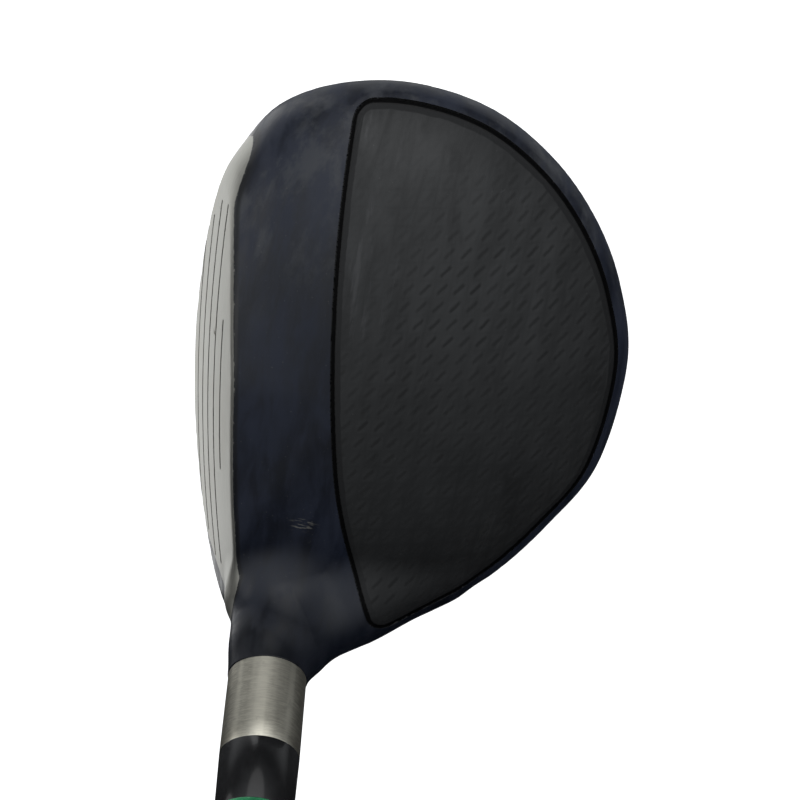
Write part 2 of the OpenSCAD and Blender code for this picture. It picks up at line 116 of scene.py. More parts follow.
def join_round(a, b, r):
    """Inside either, with the corner filled to radius r."""
    u, v = np.maximum(r - a, 0), np.maximum(r - b, 0)
    return np.maximum(r, np.minimum(a, b)) - np.sqrt(u * u + v * v)


def step(a, b, x):
    t = np.clip((x - a) / (b - a), 0, 1)
    return t * t * (3 - 2 * t)


def plan(x, y):
    """Outline radius, height of the widest line, share of the way out, and slant."""
    th, r = np.arctan2(y, x), np.hypot(x, y)
    R, dR = np.interp(th, GRID, RADIUS), np.interp(th, GRID, SLOPE)
    ye = R * np.sin(th)
    z0 = SKIRT + np.where(ye > 0, TOE_RISE * (ye / TOE) ** 2, HEEL_RISE * (ye / HEEL) ** 2)
    return R, z0, r / R, np.sqrt(1 + (dR / R) ** 2)


def shell(x, y, z):
    """Rough distance to the crown and sole skin."""
    R, z0, s, slant = plan(x, y)
    up = np.maximum(z - z0, 1e-6) / (CROWN - z0)
    dn = np.maximum(z0 - z, 0) / (z0 + LANDING)
    q = 2 / FULLNESS
    top = z > z0
    F = np.sqrt(s * s + np.where(top, up ** q, dn * dn))
    gz = np.where(top, up ** (q - 1) / FULLNESS / (CROWN - z0), dn / (z0 + LANDING))
    g = np.sqrt((s * slant / R) ** 2 + gz ** 2) / np.maximum(F, 0.05)
    return np.clip((F - 1) / np.maximum(g, 0.012), -12, 40)


def face_gap(P):
    """Distance in front of the curved face."""
    return np.linalg.norm(P - FACE_C, axis=1) - FACE_RADIUS


def axis_place(P):
    """Distance along the shaft axis and away from it."""
    q = P - np.array([HOSEL_X, AXIS_Y, 0])
    s = q @ AXIS
    return s, np.linalg.norm(q - s[:, None] * AXIS, axis=1)


def panel_gap(P):
    """Distance outside the panel's opening, seen from above."""
    x, y = P[:, 0], P[:, 1]
    R, z0, s, slant = plan(x, y)
    d = (s - 1) * R / slant + MARGIN
    front = np.hypot(x - SWEEP_X, y - SWEEP_Y) - SWEEP_R
    turn = -TURN_DIR[0] * (x - TURN_X) - TURN_DIR[1] * (y - TURN_Y)
    ease = np.maximum(TURN_EASE - np.abs(front - turn), 0) ** 2 / (4 * TURN_EASE)
    front = np.maximum(front, turn) + ease
    return cut_round(d, front, CORNER)


def limb(P, a, b, ra, rb):
    """Distance to a tapering rounded bar between two points."""
    a, b = np.array(a, float), np.array(b, float)
    t = np.clip((P - a) @ (b - a) / ((b - a) @ (b - a)), 0, 1)
    return np.linalg.norm(P - a - t[:, None] * (b - a), axis=1) - (ra + (rb - ra) * t)


def body_field(P):
    """Below zero inside the head: skirt, crown, sole, face, heel and neck, all blended."""
    x, y, z = P.T
    edge = 1.5 - 0.5 * step(4, 12, z)
    head = cut_round(shell(x, y, z), face_gap(P), edge)
    s, r = axis_place(P)
    neck_r = NECK_R + (NECK_TOP_R - NECK_R) * step(NECK_TAPER, PAINT_LINE, s)
    tube = cut_round(r - neck_r, NECK_FOOT - s, NECK_FILLET)
    heel = join_round(tube, limb(P, *FLANK), NECK_FILLET)
    f = join_round(head, heel, HEEL_FILLET + 2.5 * step(-18, -4, x) - 3 * step(5, 16, x))
    f = cut_round(f, -z, SOLE_EDGE)
    port = np.hypot(*port_place(P)[:2]) - PORT_R
    f = np.maximum(f, np.where(z < 8, -port, -9))
    return np.maximum(f, s - PAINT_LINE)


PORT_DIR = np.array([-math.sin(WEIGHT_LEAN), 0, math.cos(WEIGHT_LEAN)])
PORT_X = np.array([math.cos(WEIGHT_LEAN), 0, math.sin(WEIGHT_LEAN)])
SOLE_AT = (SKIRT + LANDING) * (1 - math.sqrt(1 - (WEIGHT_X / BACK) ** 2)) - LANDING


def port_place(P):
    q = P - np.array([WEIGHT_X, WEIGHT_Y, SOLE_AT])
    return q @ PORT_X, q[:, 1], q @ PORT_DIR


def line_gap(P):
    """Distance from the nearest score line, negative inside it."""
    h = (P - np.array([-FACE_REACH, 0, FACE_MID])) @ FACE_UP
    best = np.full(len(P), 9.0)
    for k in range(LINES):
        length = TOP_LINE_LENGTH if k == 0 else LINE_LENGTH - LINE_SHRINK * max(0, k - 2)
        dh = np.abs(h - TOP_LINE + PITCH * k) - LINE_W / 2
        best = np.minimum(best, np.maximum(dh, np.abs(P[:, 1] + LINE_SHIFT) - length / 2))
    return np.where(face_gap(P) > -1.2, best, 9)


def fine_field(P):
    """The head with its score lines and the groove round the crown panel."""
    f = body_field(P)
    cut = LINE_D * (1 - step(-0.10, 0.04, line_gap(P)))
    d = panel_gap(P)
    z0 = plan(P[:, 0], P[:, 1])[1]
    on = P[:, 2] > z0 + 1
    groove = BOND_DEPTH * step(-BOND_LINE - 0.10, -BOND_LINE + 0.08, d) * (1 - step(-0.10, 0.16, d))
    lip = 0.16 * (1 - step(-0.1, 1.3, d)) * step(-BOND_LINE - 0.2, -0.1, d)
    panel = 0.05 * (1 - step(-BOND_LINE - 0.05, -BOND_LINE, d))
    panel += 0.10 * step(-1.3, -0.75, d) * (1 - step(-0.75, -0.65, d))
    return f + cut + np.where(on, groove + lip + panel, 0)


def slope_of(field, P, e=0.02):
    f = field(P)
    g = np.empty_like(P)
    for k in range(3):
        q = P.copy()
        q[:, k] += e
        g[:, k] = field(q)
    g = (g - f[:, None]) / e
    return f, g


def settle(field, P, turns=5):
    for _ in range(turns):
        f, g = slope_of(field, P)
        n = np.maximum((g * g).sum(1), 0.05)
        P = P - np.clip(f / n, -0.6, 0.6)[:, None] * g
    return P


def surface_net(field, lo, hi, h):
    """Closed mesh of quads, cut to triangles, over the zero of a field."""
    ax = [np.arange(a, b + h, h) for a, b in zip(lo, hi)]
    shape = tuple(len(a) for a in ax)
    G = np.stack(np.meshgrid(*ax, indexing="ij"), -1).reshape(-1, 3)
    V = np.concatenate([field(c) for c in np.array_split(G, 12)]).reshape(shape)
    S = V < 0
    corners = [(i, j, k) for i in (0, 1) for j in (0, 1) for k in (0, 1)]
    count = sum(S[i:shape[0] - 1 + i, j:shape[1] - 1 + j, k:shape[2] - 1 + k].astype(np.int8)
                for i, j, k in corners)
    cells = np.argwhere((count > 0) & (count < 8))
    index = np.full(tuple(n - 1 for n in shape), -1)
    index[tuple(cells.T)] = np.arange(len(cells))
    total, hits = np.zeros((len(cells), 3)), np.zeros(len(cells))
    for a in corners:
        for k in range(3):
            if a[k]:
                continue
            b = list(a)
            b[k] = 1
            va, vb = V[tuple((cells + a).T)], V[tuple((cells + b).T)]
            m = (va < 0) != (vb < 0)
            t = np.where(m, va / np.where(m, va - vb, 1), 0)
            at = cells + a + t[:, None] * (np.array(b) - a)
            total[m] += at[m]
            hits[m] += 1
    P = np.array(lo) + h * total / hits[:, None]
    quads = []
    for k in range(3):
        u, v = (k + 1) % 3, (k + 2) % 3
        a, b = [slice(None)] * 3, [slice(None)] * 3
        a[k], b[k] = slice(0, shape[k] - 1), slice(1, shape[k])
        e = np.argwhere(S[tuple(a)] != S[tuple(b)])
        e = e[(e[:, u] > 0) & (e[:, v] > 0) & (e[:, u] < shape[u] - 1) & (e[:, v] < shape[v] - 1)]
        du, dv = np.eye(3, dtype=int)[u], np.eye(3, dtype=int)[v]
        q = np.stack([index[tuple(c.T)] for c in (e - du - dv, e - dv, e, e - du)], 1)
        flip = ~S[tuple(e.T)]
        q[flip] = q[flip][:, ::-1]
        quads.append(q)
    Q = np.concatenate(quads)
    Q = Q[(Q >= 0).all(1)]
    return P, np.concatenate([Q[:, [0, 1, 2]], Q[:, [0, 2, 3]]])


def relax(P, F):
    """Moves every point half way to the middle of its neighbours."""
    E = np.concatenate([F[:, [0, 1]], F[:, [1, 2]], F[:, [2, 0]]])
    total, hits = np.zeros_like(P), np.zeros(len(P))
    np.add.at(total, E[:, 0], P[E[:, 1]])
    np.add.at(hits, E[:, 0], 1)
    return P + 0.5 * (total / np.maximum(hits, 1)[:, None] - P)


def refine(P, F, want):
    """Splits edges longer than wanted at their middle, keeping the mesh closed."""
    E = np.sort(np.concatenate([F[:, [0, 1]], F[:, [1, 2]], F[:, [2, 0]]]), axis=1)
    U, inv = np.unique(E, axis=0, return_inverse=True)
    inv = inv.reshape(3, -1).T
    mid = P[U].mean(1)
    long = np.linalg.norm(P[U[:, 0]] - P[U[:, 1]], axis=1) > 1.35 * want(mid)
    new = np.full(len(U), -1)
    new[long] = len(P) + np.arange(long.sum())
    P = np.concatenate([P, mid[long]])
    M = new[inv]
    got = M >= 0
    n = got.sum(1)
    out = [F[n == 0]]
    f, m = F[n == 3], M[n == 3]
    out += [np.stack([f[:, 0], m[:, 0], m[:, 2]], 1), np.stack([m[:, 0], f[:, 1], m[:, 1]], 1),
            np.stack([m[:, 2], m[:, 1], f[:, 2]], 1), m]
    for k in range(3):
        a, b, c = k, (k + 1) % 3, (k + 2) % 3
        s = (n == 1) & got[:, a]
        f, m = F[s], M[s]
        out += [np.stack([f[:, a], m[:, a], f[:, c]], 1), np.stack([m[:, a], f[:, b], f[:, c]], 1)]
        s = (n == 2) & ~got[:, a]
        f, m = F[s], M[s]
        out += [np.stack([m[:, b], f[:, c], m[:, c]], 1), np.stack([f[:, a], f[:, b], m[:, b]], 1),
                np.stack([f[:, a], m[:, b], m[:, c]], 1)]
    return P, np.concatenate(out)


def wanted(P):
    """Edge length the surface needs at each place."""
    w = np.full(len(P), 1.4)
    x, y, z = P.T
    top = (face_gap(P) > -2.2) & (z > 12) & (shell(x, y, z) > -2.2)
    w[top] = 0.45
    s, r = axis_place(P)
    w[(s > 26) & (s < 56) & (r < 16)] = 0.7
    w[s > PAINT_LINE - 0.8] = 0.3
    on = z > plan(x, y)[1] + 1
    d = panel_gap(P)
    w[on & (d > -1.3) & (d < 1.4)] = 0.3
    w[on & (d > -0.95) & (d < 0.35)] = 0.14
    g = line_gap(P)
    w[g < 0.6] = 0.3
    w[np.abs(g + 0.03) < 0.2] = 0.13
    a, b, c = port_place(P)
    w[(np.abs(np.hypot(a, b) - PORT_R) < 0.7) & (z < 8)] = 0.3
    return w


GRID_LOW, GRID_HIGH, GRID_STEP = (-36, -62, -1.6), (54, 58, 52), 1.2


def build_head():
    P, F = surface_net(body_field, GRID_LOW, GRID_HIGH, GRID_STEP)
    for _ in range(3):
        P = settle(body_field, relax(P, F), 2)
    for _ in range(4):
        P, F = refine(P, F, wanted)
        P = settle(body_field, P, 2)
    return P, F


# ---------------------------------------------------------------- node helpers
def material(name):
    m = bpy.data.materials.new(name)
    m.use_nodes = True
    m.node_tree.nodes.clear()
    out = m.node_tree.nodes.new("ShaderNodeOutputMaterial")
    b = m.node_tree.nodes.new("ShaderNodeBsdfPrincipled")
    m.node_tree.links.new(b.outputs[0], out.inputs[0])
    return m, m.node_tree, b


def put(nt, socket, value):
    if isinstance(value, bpy.types.NodeSocket):
        nt.links.new(value, socket)
    elif hasattr(value, "__len__") and len(value) == 3 and socket.type == "RGBA":
        socket.default_value = (*value, 1)
    else:
        socket.default_value = value


def node(nt, kind, out=0, inputs=(), **props):
    n = nt.nodes.new("ShaderNode" + kind)
    for k, v in props.items():
        setattr(n, k, v)
    for k, v in dict(inputs).items():
        put(nt, n.inputs[k], v)
    return n.outputs[out]


def calc(nt, op, a, b=0.0, c=0.0):
    return node(nt, "Math", inputs={0: a, 1: b, 2: c}, operation=op)


def times(nt, a, *rest):
    for b in rest:
        a = calc(nt, "MULTIPLY", a, b)
    return a


def less(nt, a, b):
    return calc(nt, "SUBTRACT", a, b)


def mix(nt, t, a, b):
    n = nt.nodes.new("ShaderNodeMix")
    n.data_type = "RGBA"
    put(nt, n.inputs[0], t)
    put(nt, n.inputs[6], a)
    put(nt, n.inputs[7], b)
    return n.outputs[2]


def split(nt, vector):
    """X, Y and Z of a vector."""
    node(nt, "SeparateXYZ", inputs={0: vector})
    return nt.nodes[-1].outputs


def blend(nt, t, a, b):
    n = nt.nodes.new("ShaderNodeMix")
    n.data_type = "FLOAT"
    put(nt, n.inputs[0], t)
    put(nt, n.inputs[2], a)
    put(nt, n.inputs[3], b)
    return n.outputs[0]


def ramp(nt, value, lo, hi, a=0.0, b=1.0):
    return node(nt, "MapRange", inputs={0: value, 1: lo, 2: hi, 3: a, 4: b},
                interpolation_type="SMOOTHSTEP")


def place(nt, scale=(1, 1, 1), turn=(0, 0, 0), shift=(0, 0, 0)):
    """Object coordinates in millimetres, turned and then stretched."""
    o = node(nt, "TexCoord", 3)
    mm = node(nt, "Mapping", inputs={0: o, 1: shift, 2: turn, 3: (1000, 1000, 1000)})
    return node(nt, "Mapping", inputs={0: mm, 3: scale})


def noise(nt, vector, scale, detail=3.0, rough=0.55, warp=0.0):
    return node(nt, "TexNoise", inputs={
        0: vector, "Scale": scale, "Detail": detail, "Roughness": rough, "Distortion": warp})


def bump(nt, height, strength, distance, normal=None):
    i = {"Strength": strength, "Distance": distance, "Height": height}
    if normal is not None:
        i["Normal"] = normal
    return node(nt, "Bump", inputs=i)


def value_of(nt, name):
    return node(nt, "Attribute", 2, attribute_name=name)


def finish_of(nt, b, **sockets):
    for k, v in sockets.items():
        put(nt, b.inputs[k.replace("_", " ")], v)


# ---------------------------------------------------------------- materials
WEAVE_X, WEAVE_Y = 2.95, 3.06


def head_paint():
    """Dark blue metallic paint, bare satin face, both worn and smudged, with painted shade toward the heel
    and along the edge of the bare face, and a painted highlight in the smudges toward the toe.
    """
    m, nt, b = material("painted_head")
    wide = place(nt)
    swipe = place(nt, (0.30, 0.07, 0.2), (0, 0, 0.12))
    cloud = noise(nt, wide, 0.045, 4, 0.6)
    streak = noise(nt, swipe, 1.0, 5, 0.62, 0.4)
    fleck = node(nt, "TexVoronoi", inputs={0: wide, "Scale": 7.0})
    body = ramp(nt, blend(nt, 0.5, cloud, streak), 0.38, 0.62)
    navy = mix(nt, body, (0.0035, 0.0050, 0.0105), (0.0105, 0.0148, 0.0300))
    navy = mix(nt, ramp(nt, fleck, 0.02, 0.12, 0.30, 0.0), navy, (0.022, 0.027, 0.042))
    dust = ramp(nt, noise(nt, wide, 1.7, 2, 0.5), 0.70, 0.80)
    navy = mix(nt, times(nt, dust, 0.25), navy, (0.16, 0.16, 0.15))
    along = place(nt, (0.25, 0.25, 6.0), (0, math.radians(-18), 0))
    mill = noise(nt, along, 1.0, 4, 0.7)
    stain = noise(nt, wide, 0.09, 3, 0.5)
    steel = mix(nt, ramp(nt, mill, 0.3, 0.7), (0.33, 0.327, 0.298), (0.41, 0.407, 0.372))
    steel = mix(nt, ramp(nt, stain, 0.45, 0.75, 0.0, 0.35), steel, (0.30, 0.285, 0.245))
    xyz = split(nt, wide)
    smear = noise(nt, place(nt, (0.20, 0.10, 0.2), (0, 0, 0.3)), 1.0, 6, 0.62, 0.15)
    # Smudges on the paint, plus a painted highlight: the lighter haze is kept to the toe side, where the
    # light falls.
    haze = times(nt, ramp(nt, smear, 0.46, 0.66), ramp(nt, xyz[1], 5, 38))
    navy = mix(nt, times(nt, haze, 0.55), navy, (0.050, 0.053, 0.058))
    spot = place(nt, (0.30, 0.55, 0.0), (0, 0, 0), (6.2, 24, 0))
    spot = node(nt, "VectorMath", 1, operation="LENGTH", inputs={0: spot})
    hairs = noise(nt, place(nt, (0.5, 2.6, 1.0), (0, 0, 0.15)), 1.0, 3, 0.6)
    scuff = times(nt, ramp(nt, spot, 1.0, 0.3), ramp(nt, hairs, 0.52, 0.62))
    navy = mix(nt, times(nt, scuff, 0.75), navy, (0.16, 0.155, 0.14))
    # Painted shade: the paint grows darker toward the heel.
    navy = mix(nt, ramp(nt, xyz[1], -22, -46, 0.0, 0.6), navy, (0.0022, 0.0028, 0.0040))
    mask = value_of(nt, "bare")
    # rim is painted shade: a near-black line on the paint along the edge of the bare face; seam darkens the
    # paint at the crown groove.
    rim = ramp(nt, mask, -0.85, -0.35, 0.0, 0.75)
    seam = ramp(nt, value_of(nt, "pd"), 0.10, 0.02)
    navy = mix(nt, calc(nt, "MAXIMUM", rim, seam), navy, (0.0006, 0.0007, 0.0009))
    steel = mix(nt, ramp(nt, value_of(nt, "line"), 0.06, -0.06), steel, (0.035, 0.035, 0.032))
    waver = times(nt, less(nt, noise(nt, wide, 0.8), 0.5), 0.16)
    bare = ramp(nt, calc(nt, "ADD", mask, waver), -0.05, 0.05)
    wear = times(nt, ramp(nt, mask, -0.22, -0.02), ramp(nt, noise(nt, wide, 1.1, 4, 0.7), 0.56, 0.64))
    paint_rough = blend(nt, ramp(nt, streak, 0.40, 0.66), 0.32, 0.52)
    steel_rough = blend(nt, mill, 0.34, 0.52)
    cover = calc(nt, "MAXIMUM", bare, times(nt, wear, 0.6))
    relief = bump(nt, noise(nt, wide, 9.0, 2), 0.10, 0.00002)
    relief = bump(nt, mill, 0.25, 0.00003, relief)
    finish_of(nt, b, Base_Color=mix(nt, cover, navy, steel), Metallic=cover,
              Roughness=blend(nt, cover, paint_rough, steel_rough), Specular_IOR_Level=0.38,
              Coat_Weight=times(nt, less(nt, 1.0, cover), 0.08), Coat_Roughness=0.2, Normal=relief)
    return m


def carbon_panel():
    """Satin composite with a faint square weave, a matt border and handling marks, with a painted highlight
    beside each weave tick and painted shade toward the heel.
    """
    m, nt, b = material("carbon_panel")
    p = place(nt, turn=(0, 0, math.radians(-3)))
    xyz = split(nt, p)
    wobble = noise(nt, p, 0.9, 3, 0.6)
    gu = calc(nt, "MULTIPLY_ADD", xyz[1], -0.071, calc(nt, "DIVIDE", xyz[0], WEAVE_X))
    gv = calc(nt, "MULTIPLY_ADD", xyz[0], 0.011, calc(nt, "DIVIDE", xyz[1], WEAVE_Y))
    gu = calc(nt, "MULTIPLY_ADD", less(nt, wobble, 0.5), 0.22, gu)
    du, dv = (less(nt, calc(nt, "FRACT", g), 0.5) for g in (gu, gv))
    across = calc(nt, "ABSOLUTE", less(nt, times(nt, du, 1.15), dv))
    along = calc(nt, "ABSOLUTE", calc(nt, "ADD", du, dv))
    pick = node(nt, "CombineXYZ", inputs={0: calc(nt, "FLOOR", gu), 1: calc(nt, "FLOOR", gv)})
    chance = node(nt, "TexWhiteNoise", inputs={0: pick}, noise_dimensions="3D")
    show = ramp(nt, noise(nt, p, 0.05, 2, 0.5), 0.36, 0.60, 0.70, 1.0)
    fade = ramp(nt, calc(nt, "MULTIPLY_ADD", xyz[0], -1.2, xyz[1]), 24, -14, 0.12, 1.0)
    dash = times(nt, ramp(nt, across, 0.24, 0.07), ramp(nt, along, 0.72, 0.38), show, fade,
                 calc(nt, "MULTIPLY_ADD", chance, 0.4, 0.6))
    cell = times(nt, *(ramp(nt, calc(nt, "ABSOLUTE", g), 0.55, 0.30) for g in (du, dv)), chance)
    streak = noise(nt, place(nt, (0.22, 0.05, 0.1), (0, 0, 0.15)), 1.0, 5, 0.6, 0.5)
    base = mix(nt, ramp(nt, streak, 0.35, 0.65), (0.0125, 0.0130, 0.0136), (0.0215, 0.0222, 0.0230))
    base = mix(nt, times(nt, cell, 0.30), base, (0.034, 0.035, 0.036))
    # Painted highlight: a lighter sheen beside each dark weave tick.
    painted_weave_glint = ramp(nt, calc(nt, "ABSOLUTE", less(nt, across, 0.40)), 0.16, 0.02)
    painted_weave_glint = times(nt, painted_weave_glint, fade, ramp(nt, along, 0.70, 0.30))
    base = mix(nt, times(nt, painted_weave_glint, 0.22), base, (0.036, 0.037, 0.038))
    base = mix(nt, times(nt, dash, 0.62), base, (0.0012, 0.0012, 0.0013))
    scuff = ramp(nt, noise(nt, place(nt, (0.42, 0.05, 0.1), (0, 0, 0.1)), 1.0, 5, 0.65), 0.54, 0.70)
    scuff = times(nt, scuff, ramp(nt, xyz[0], 16, 0), ramp(nt, xyz[1], -10, 18))
    base = mix(nt, times(nt, scuff, 0.5), base, (0.070, 0.070, 0.073))
    # Painted shade: the panel grows darker toward the heel.
    base = mix(nt, ramp(nt, xyz[1], -16, -44, 0.0, 0.6), base, (0.0035, 0.0036, 0.0042))
    d = value_of(nt, "pd")
    waver = times(nt, less(nt, noise(nt, p, 0.22, 3, 0.6), 0.5), 0.7)
    edge = ramp(nt, calc(nt, "ADD", d, waver), -1.85, -1.60)
    base = mix(nt, edge, base, (0.0065, 0.0068, 0.0076))
    base = mix(nt, ramp(nt, d, -0.86, -0.74), base, (0.0005, 0.0005, 0.0006))
    speck = less(nt, ramp(nt, noise(nt, p, 2.6, 2, 0.5), 0.73, 0.80), ramp(nt, d, -1.0, -0.8))
    base = mix(nt, times(nt, speck, 0.30), base, (0.14, 0.14, 0.135))
    scratch = node(nt, "TexVoronoi", inputs={0: place(nt, (0.8, 0.035, 0.1), (0, 0, 0.35)), "Scale": 1.0},
                   feature="DISTANCE_TO_EDGE")
    mark = times(nt, ramp(nt, scratch, 0.02, 0.0), ramp(nt, noise(nt, p, 0.07, 2), 0.55, 0.68))
    base = mix(nt, times(nt, mark, 0.25), base, (0.085, 0.085, 0.085))
    relief = bump(nt, dash, 0.35, -0.00005)
    relief = bump(nt, noise(nt, p, 6.0, 3), 0.20, 0.00003, relief)
    rough = blend(nt, dash, blend(nt, ramp(nt, streak, 0.38, 0.64), 0.50, 0.38), 0.8)
    finish_of(nt, b, Base_Color=base, Roughness=blend(nt, edge, rough, 0.62),
              Specular_IOR_Level=0.42, Normal=relief)
    return m


def dark_gloss(name, colour, rough=0.1, marks=0.5, coat=0.5, shine=0.5):
    """Lacquer with a faint cloud, specks and rubbed places."""
    m, nt, b = material(name)
    p = place(nt)
    n = noise(nt, p, 0.35, 4, 0.6)
    fine = noise(nt, p, 3.0, 3, 0.6)
    light = tuple(min(1, c * 1.7 + 0.008 * marks) for c in colour)
    base = mix(nt, ramp(nt, n, 0.35, 0.7), colour, light)
    base = mix(nt, ramp(nt, fine, 0.70, 0.80, 0.0, 0.2 * marks), base, (0.3, 0.3, 0.29))
    finish_of(nt, b, Base_Color=base, Coat_Weight=coat, Coat_Roughness=0.06, Specular_IOR_Level=shine,
              Roughness=blend(nt, ramp(nt, n, 0.4, 0.7), rough, rough + 0.16 * marks),
              Normal=bump(nt, fine, 0.08, 0.00003))
    return m


def along_axis(nt, stretch):
    """Millimetre coordinates with Z along the shaft, stretched."""
    return place(nt, stretch, (-(math.pi / 2 - LIE), 0, 0))


def brushed(name, dark, light, rough, stretch, bands=0.5):
    """Bare metal with a stretched grain, soft bands, stains and pits."""
    m, nt, b = material(name)
    p = along_axis(nt, stretch)
    grain = noise(nt, p, 1.0, 5, 0.7)
    soft = noise(nt, along_axis(nt, (0.30, 0.30, 0.012)), 1.0, 2, 0.5)
    haze = noise(nt, place(nt), 0.5, 4, 0.6)
    base = mix(nt, ramp(nt, grain, 0.3, 0.7), dark, light)
    base = mix(nt, ramp(nt, soft, 0.45, 0.62, 0.0, bands), base, tuple(min(1, 1.25 * c) for c in light))
    base = mix(nt, ramp(nt, haze, 0.55, 0.72, 0.0, 0.30), base, tuple(0.75 * c for c in dark))
    pit = ramp(nt, noise(nt, place(nt), 2.2, 2), 0.74, 0.80)
    base = mix(nt, times(nt, pit, 0.5), base, (0.09, 0.08, 0.07))
    finish_of(nt, b, Base_Color=base, Metallic=1.0,
              Roughness=blend(nt, grain, rough - 0.06, rough + 0.10),
              Normal=bump(nt, grain, 0.22, 0.00003))
    return m


def rubber(name):
    m, nt, b = material(name)
    p = place(nt)
    n = noise(nt, p, 0.8, 4, 0.6)
    fine = noise(nt, p, 9.0, 3, 0.6)
    base = mix(nt, ramp(nt, n, 0.35, 0.7), (0.010, 0.0105, 0.011), (0.021, 0.0215, 0.022))
    base = mix(nt, ramp(nt, fine, 0.62, 0.78, 0.0, 0.25), base, (0.07, 0.068, 0.065))
    finish_of(nt, b, Base_Color=base, Roughness=blend(nt, n, 0.55, 0.78), Specular_IOR_Level=0.35,
              Normal=bump(nt, fine, 0.5, 0.00008))
    return m


def hidden_stuff(name, colour, other, rough):
    m, nt, b = material(name)
    p = place(nt)
    n = noise(nt, p, 0.6, 4, 0.6)
    finish_of(nt, b, Base_Color=mix(nt, ramp(nt, n, 0.35, 0.65), colour, other),
              Roughness=blend(nt, n, rough - 0.1, rough + 0.15),
              Normal=bump(nt, noise(nt, p, 2.5, 4), 0.4, 0.0001))
    return m


PAINT, PANEL = head_paint(), carbon_panel()
GROOVE = dark_gloss("crown_adhesive", (0.0004, 0.0004, 0.0005), 0.6, 0.1, 0.0, 0.08)
BAND = brushed("bare_band", (0.50, 0.475, 0.395), (0.74, 0.712, 0.610), 0.38, (0.5, 0.5, 5.0))
FERRULE = dark_gloss("ferrule_black", (0.004, 0.004, 0.0045), 0.17, 0.15, 0.2)
GREEN = dark_gloss("ferrule_green", (0.012, 0.150, 0.058), 0.18, 0.3)
SHAFT = dark_gloss("shaft_coat", (0.011, 0.012, 0.014), 0.16, 0.6, 0.8)
PRINT = dark_gloss("band_print", (0.014, 0.17, 0.065), 0.2, 0.4)
RUBBER = rubber("grip_rubber")
STEEL = brushed("weight_steel", (0.40, 0.40, 0.405), (0.60, 0.60, 0.60), 0.28, (1.6, 1.6, 1.6), 0.2)
PORT = brushed("port_steel", (0.16, 0.16, 0.165), (0.27, 0.27, 0.275), 0.40, (1.6, 1.6, 1.6), 0.2)
GLUE = hidden_stuff("hot_glue", (0.42, 0.33, 0.10), (0.55, 0.46, 0.2), 0.35)
EPOXY = hidden_stuff("epoxy", (0.46, 0.38, 0.22), (0.6, 0.52, 0.34), 0.4)
PLUG = hidden_stuff("plug_plastic", (0.6, 0.56, 0.46), (0.7, 0.67, 0.58), 0.5)
TAPE = hidden_stuff("grip_tape", (0.55, 0.5, 0.38), (0.68, 0.63, 0.5), 0.7)


# ---------------------------------------------------------------- pieces
def mesh_piece(name, P, F, mat, cad, smooth=None, normals=None, values=()):
    """A mesh from millimetre points, riding on the club in place of a CAD node."""
    used, back = np.unique(F, return_inverse=True)
    me = bpy.data.meshes.new(name)
    me.from_pydata((P[used] * MM).tolist(), [], back.reshape(F.shape).tolist())
    me.materials.append(mat)
    me.polygons.foreach_set("use_smooth", np.ones(len(me.polygons), bool))
    for key, data in dict(values).items():
        me.attributes.new(key, "FLOAT", "POINT").data.foreach_set("value", data[used].astype(np.float32))
    me.update()
    if normals is not None:
        me.normals_split_custom_set_from_vertices(normals[used].tolist())
    else:
        me.set_sharp_from_angle(angle=math.radians(smooth))
    o = bpy.data.objects.new(name, me)
    bpy.context.scene.collection.objects.link(o)
    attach(o, "club")
    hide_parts(cad)


def head_pieces():
    P, F = build_head()
    P = settle(fine_field, P, 4)
    C = P[F].mean(1)
    pd = panel_gap(C)
    on = C[:, 2] > plan(C[:, 0], C[:, 1])[1] + 1
    panel = on & (pd < -BOND_LINE)
    bond = on & (pd >= -BOND_LINE) & (pd < 0.0)
    axis_at = np.array([HOSEL_X, AXIS_Y, 0])
    cup = (face_gap(C) > -CUP_DEPTH) & ((C - axis_at) @ ACROSS > CUP_HEEL) & ~panel & ~bond
    _, g = slope_of(fine_field, P, 0.01)
    normals = g / np.linalg.norm(g, axis=1)[:, None]
    heelward = (P - axis_at) @ ACROSS
    height = (P - np.array([-FACE_REACH, 0, FACE_MID])) @ FACE_UP
    bare = np.minimum(face_gap(P) + 0.30 + 3.0 * step(30, 46, P[:, 1]), (heelward + BARE_HEEL) * 0.7)
    low = BARE_HEIGHT - 0.01 * (P[:, 1] + 30) - height
    bare = np.minimum(bare, np.where(P[:, 1] < -30, low, 9))
    values = {"bare": bare, "line": line_gap(P), "pd": panel_gap(P)}
    for name, part, mat, cad, slot in (
        ("head_body_skin", ~(panel | bond | cup), PAINT, "head_body", "painted_steel"),
        ("face_cup_skin", cup, PAINT, "face_cup", "face_steel"),
        ("crown_panel_skin", panel, PANEL, "crown_panel", "carbon_panel"),
        ("crown_bond_line", bond, GROOVE, "crown_bond", "crown_adhesive"),
    ):
        mesh_piece(name, P, F[part], mat, cad, normals=normals, values=values)


def lathe(name, profile, mat, cad, sides=96, radial=None):
    """A turned piece on the shaft axis from (along, radius) points, closed into a ring."""
    pr = np.array(profile, float)
    phi = np.linspace(0, 2 * math.pi, sides, endpoint=False)
    S, A = np.meshgrid(pr[:, 0], phi, indexing="ij")
    R = np.repeat(pr[:, 1][:, None], sides, 1)
    if radial is not None:
        R = R + radial(S, A, R)
    P = np.array([HOSEL_X, AXIS_Y, 0]) + (R * np.cos(A))[..., None] * np.array([1, 0, 0])
    P = P + (R * np.sin(A))[..., None] * ACROSS + S[..., None] * AXIS
    n, k = len(pr), sides
    i, j = np.meshgrid(np.arange(n), np.arange(k), indexing="ij")
    i2, j2 = (i + 1) % n, (j + 1) % k
    F = np.stack([i * k + j, i * k + j2, i2 * k + j2, i2 * k + j], -1).reshape(-1, 4)
    mesh_piece(name, P.reshape(-1, 3), F, mat, cad, smooth=32)


